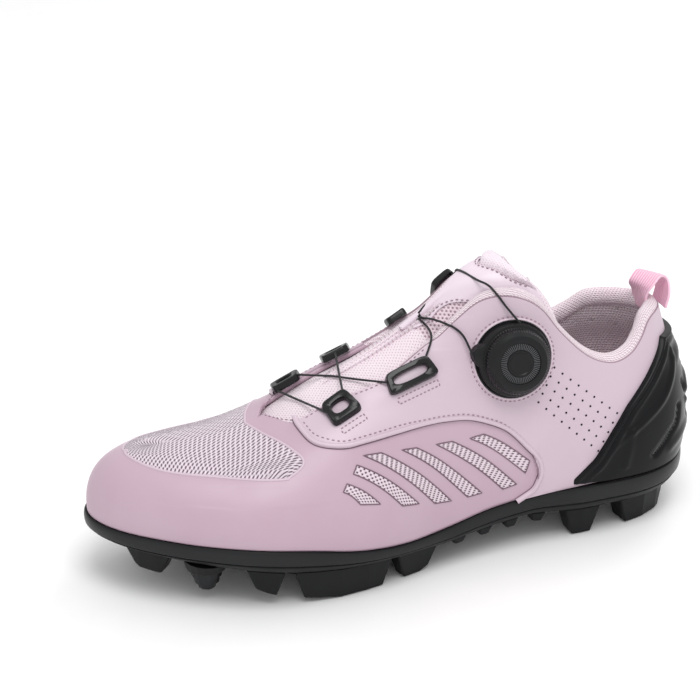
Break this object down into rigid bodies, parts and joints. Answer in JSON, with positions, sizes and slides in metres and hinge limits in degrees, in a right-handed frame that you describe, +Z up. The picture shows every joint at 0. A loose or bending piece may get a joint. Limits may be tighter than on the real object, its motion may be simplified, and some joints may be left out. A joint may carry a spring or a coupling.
{
  "type": "cycling shoe",
  "caption": "Left off-road cycling shoe with a smooth pale pink upper, a lace dial, a padded tongue and a black lugged sole with a cleat pocket.",
  "frame": {"origin": "on the floor, under the middle of the shoe's length and width", "axes": "+Z up, +X from the toe towards the heel, -Y towards the outer side"},
  "size_m": [0.278, 0.0953, 0.1257],
  "materials": {
    "satin_shell": "satin",
    "quarter_panel": "satin",
    "tongue_fabric": "matte",
    "lining": "matte",
    "ribbon": "matte",
    "sole_rubber": "matte",
    "black_plastic": "matte",
    "dial_plastic": "satin",
    "lace_cord": "matte",
    "black_steel": "blackened"
  },
  "bodies": {
    "root": {"arch_block_1_lateral": "sole_rubber", "arch_block_1_medial": "sole_rubber", "arch_block_2_lateral": "sole_rubber", "arch_block_2_medial": "sole_rubber", "arch_block_3_lateral": "sole_rubber", "arch_block_3_medial": "sole_rubber", "arch_block_4_lateral": "sole_rubber", "arch_block_4_medial": "sole_rubber", "cleat_bolt_1": "black_steel", "cleat_bolt_2": "black_steel", "cleat_bolt_3": "black_steel", "cleat_bolt_4": "black_steel", "cleat_plate": "black_plastic", "dial_base": "dial_plastic", "dial_knob": "dial_plastic", "guide_front_lateral": "black_plastic", "guide_front_medial": "black_plastic", "guide_middle_lateral": "black_plastic", "guide_middle_medial": "black_plastic", "guide_top_medial": "black_plastic", "guide_upper_medial": "black_plastic", "heel_counter": "black_plastic", "heel_lug_front_lateral": "sole_rubber", "heel_lug_front_medial": "sole_rubber", "heel_lug_rear_lateral": "sole_rubber", "heel_lug_rear_medial": "sole_rubber", "insole": "lining", "lace_1": "lace_cord", "lace_2": "lace_cord", "lace_3": "lace_cord", "lace_4": "lace_cord", "lace_5": "lace_cord", "lug_front_lateral": "sole_rubber", "lug_front_medial": "sole_rubber", "lug_main_lateral": "sole_rubber", "lug_main_medial": "sole_rubber", "lug_rear_lateral": "sole_rubber", "lug_rear_medial": "sole_rubber", "pull_loop": "ribbon", "quarter_panel_lateral": "quarter_panel", "quarter_panel_medial": "quarter_panel", "sole_plate": "sole_rubber", "stud_boss_lateral": "sole_rubber", "stud_boss_medial": "sole_rubber", "toe_lug_lateral": "sole_rubber", "toe_lug_medial": "sole_rubber", "toe_stud_lateral": "black_steel", "toe_stud_medial": "black_steel", "tongue": "tongue_fabric", "tread_bar_lateral": "sole_rubber", "tread_bar_medial": "sole_rubber", "upper": "satin_shell"}
  },
  "joints": []
}
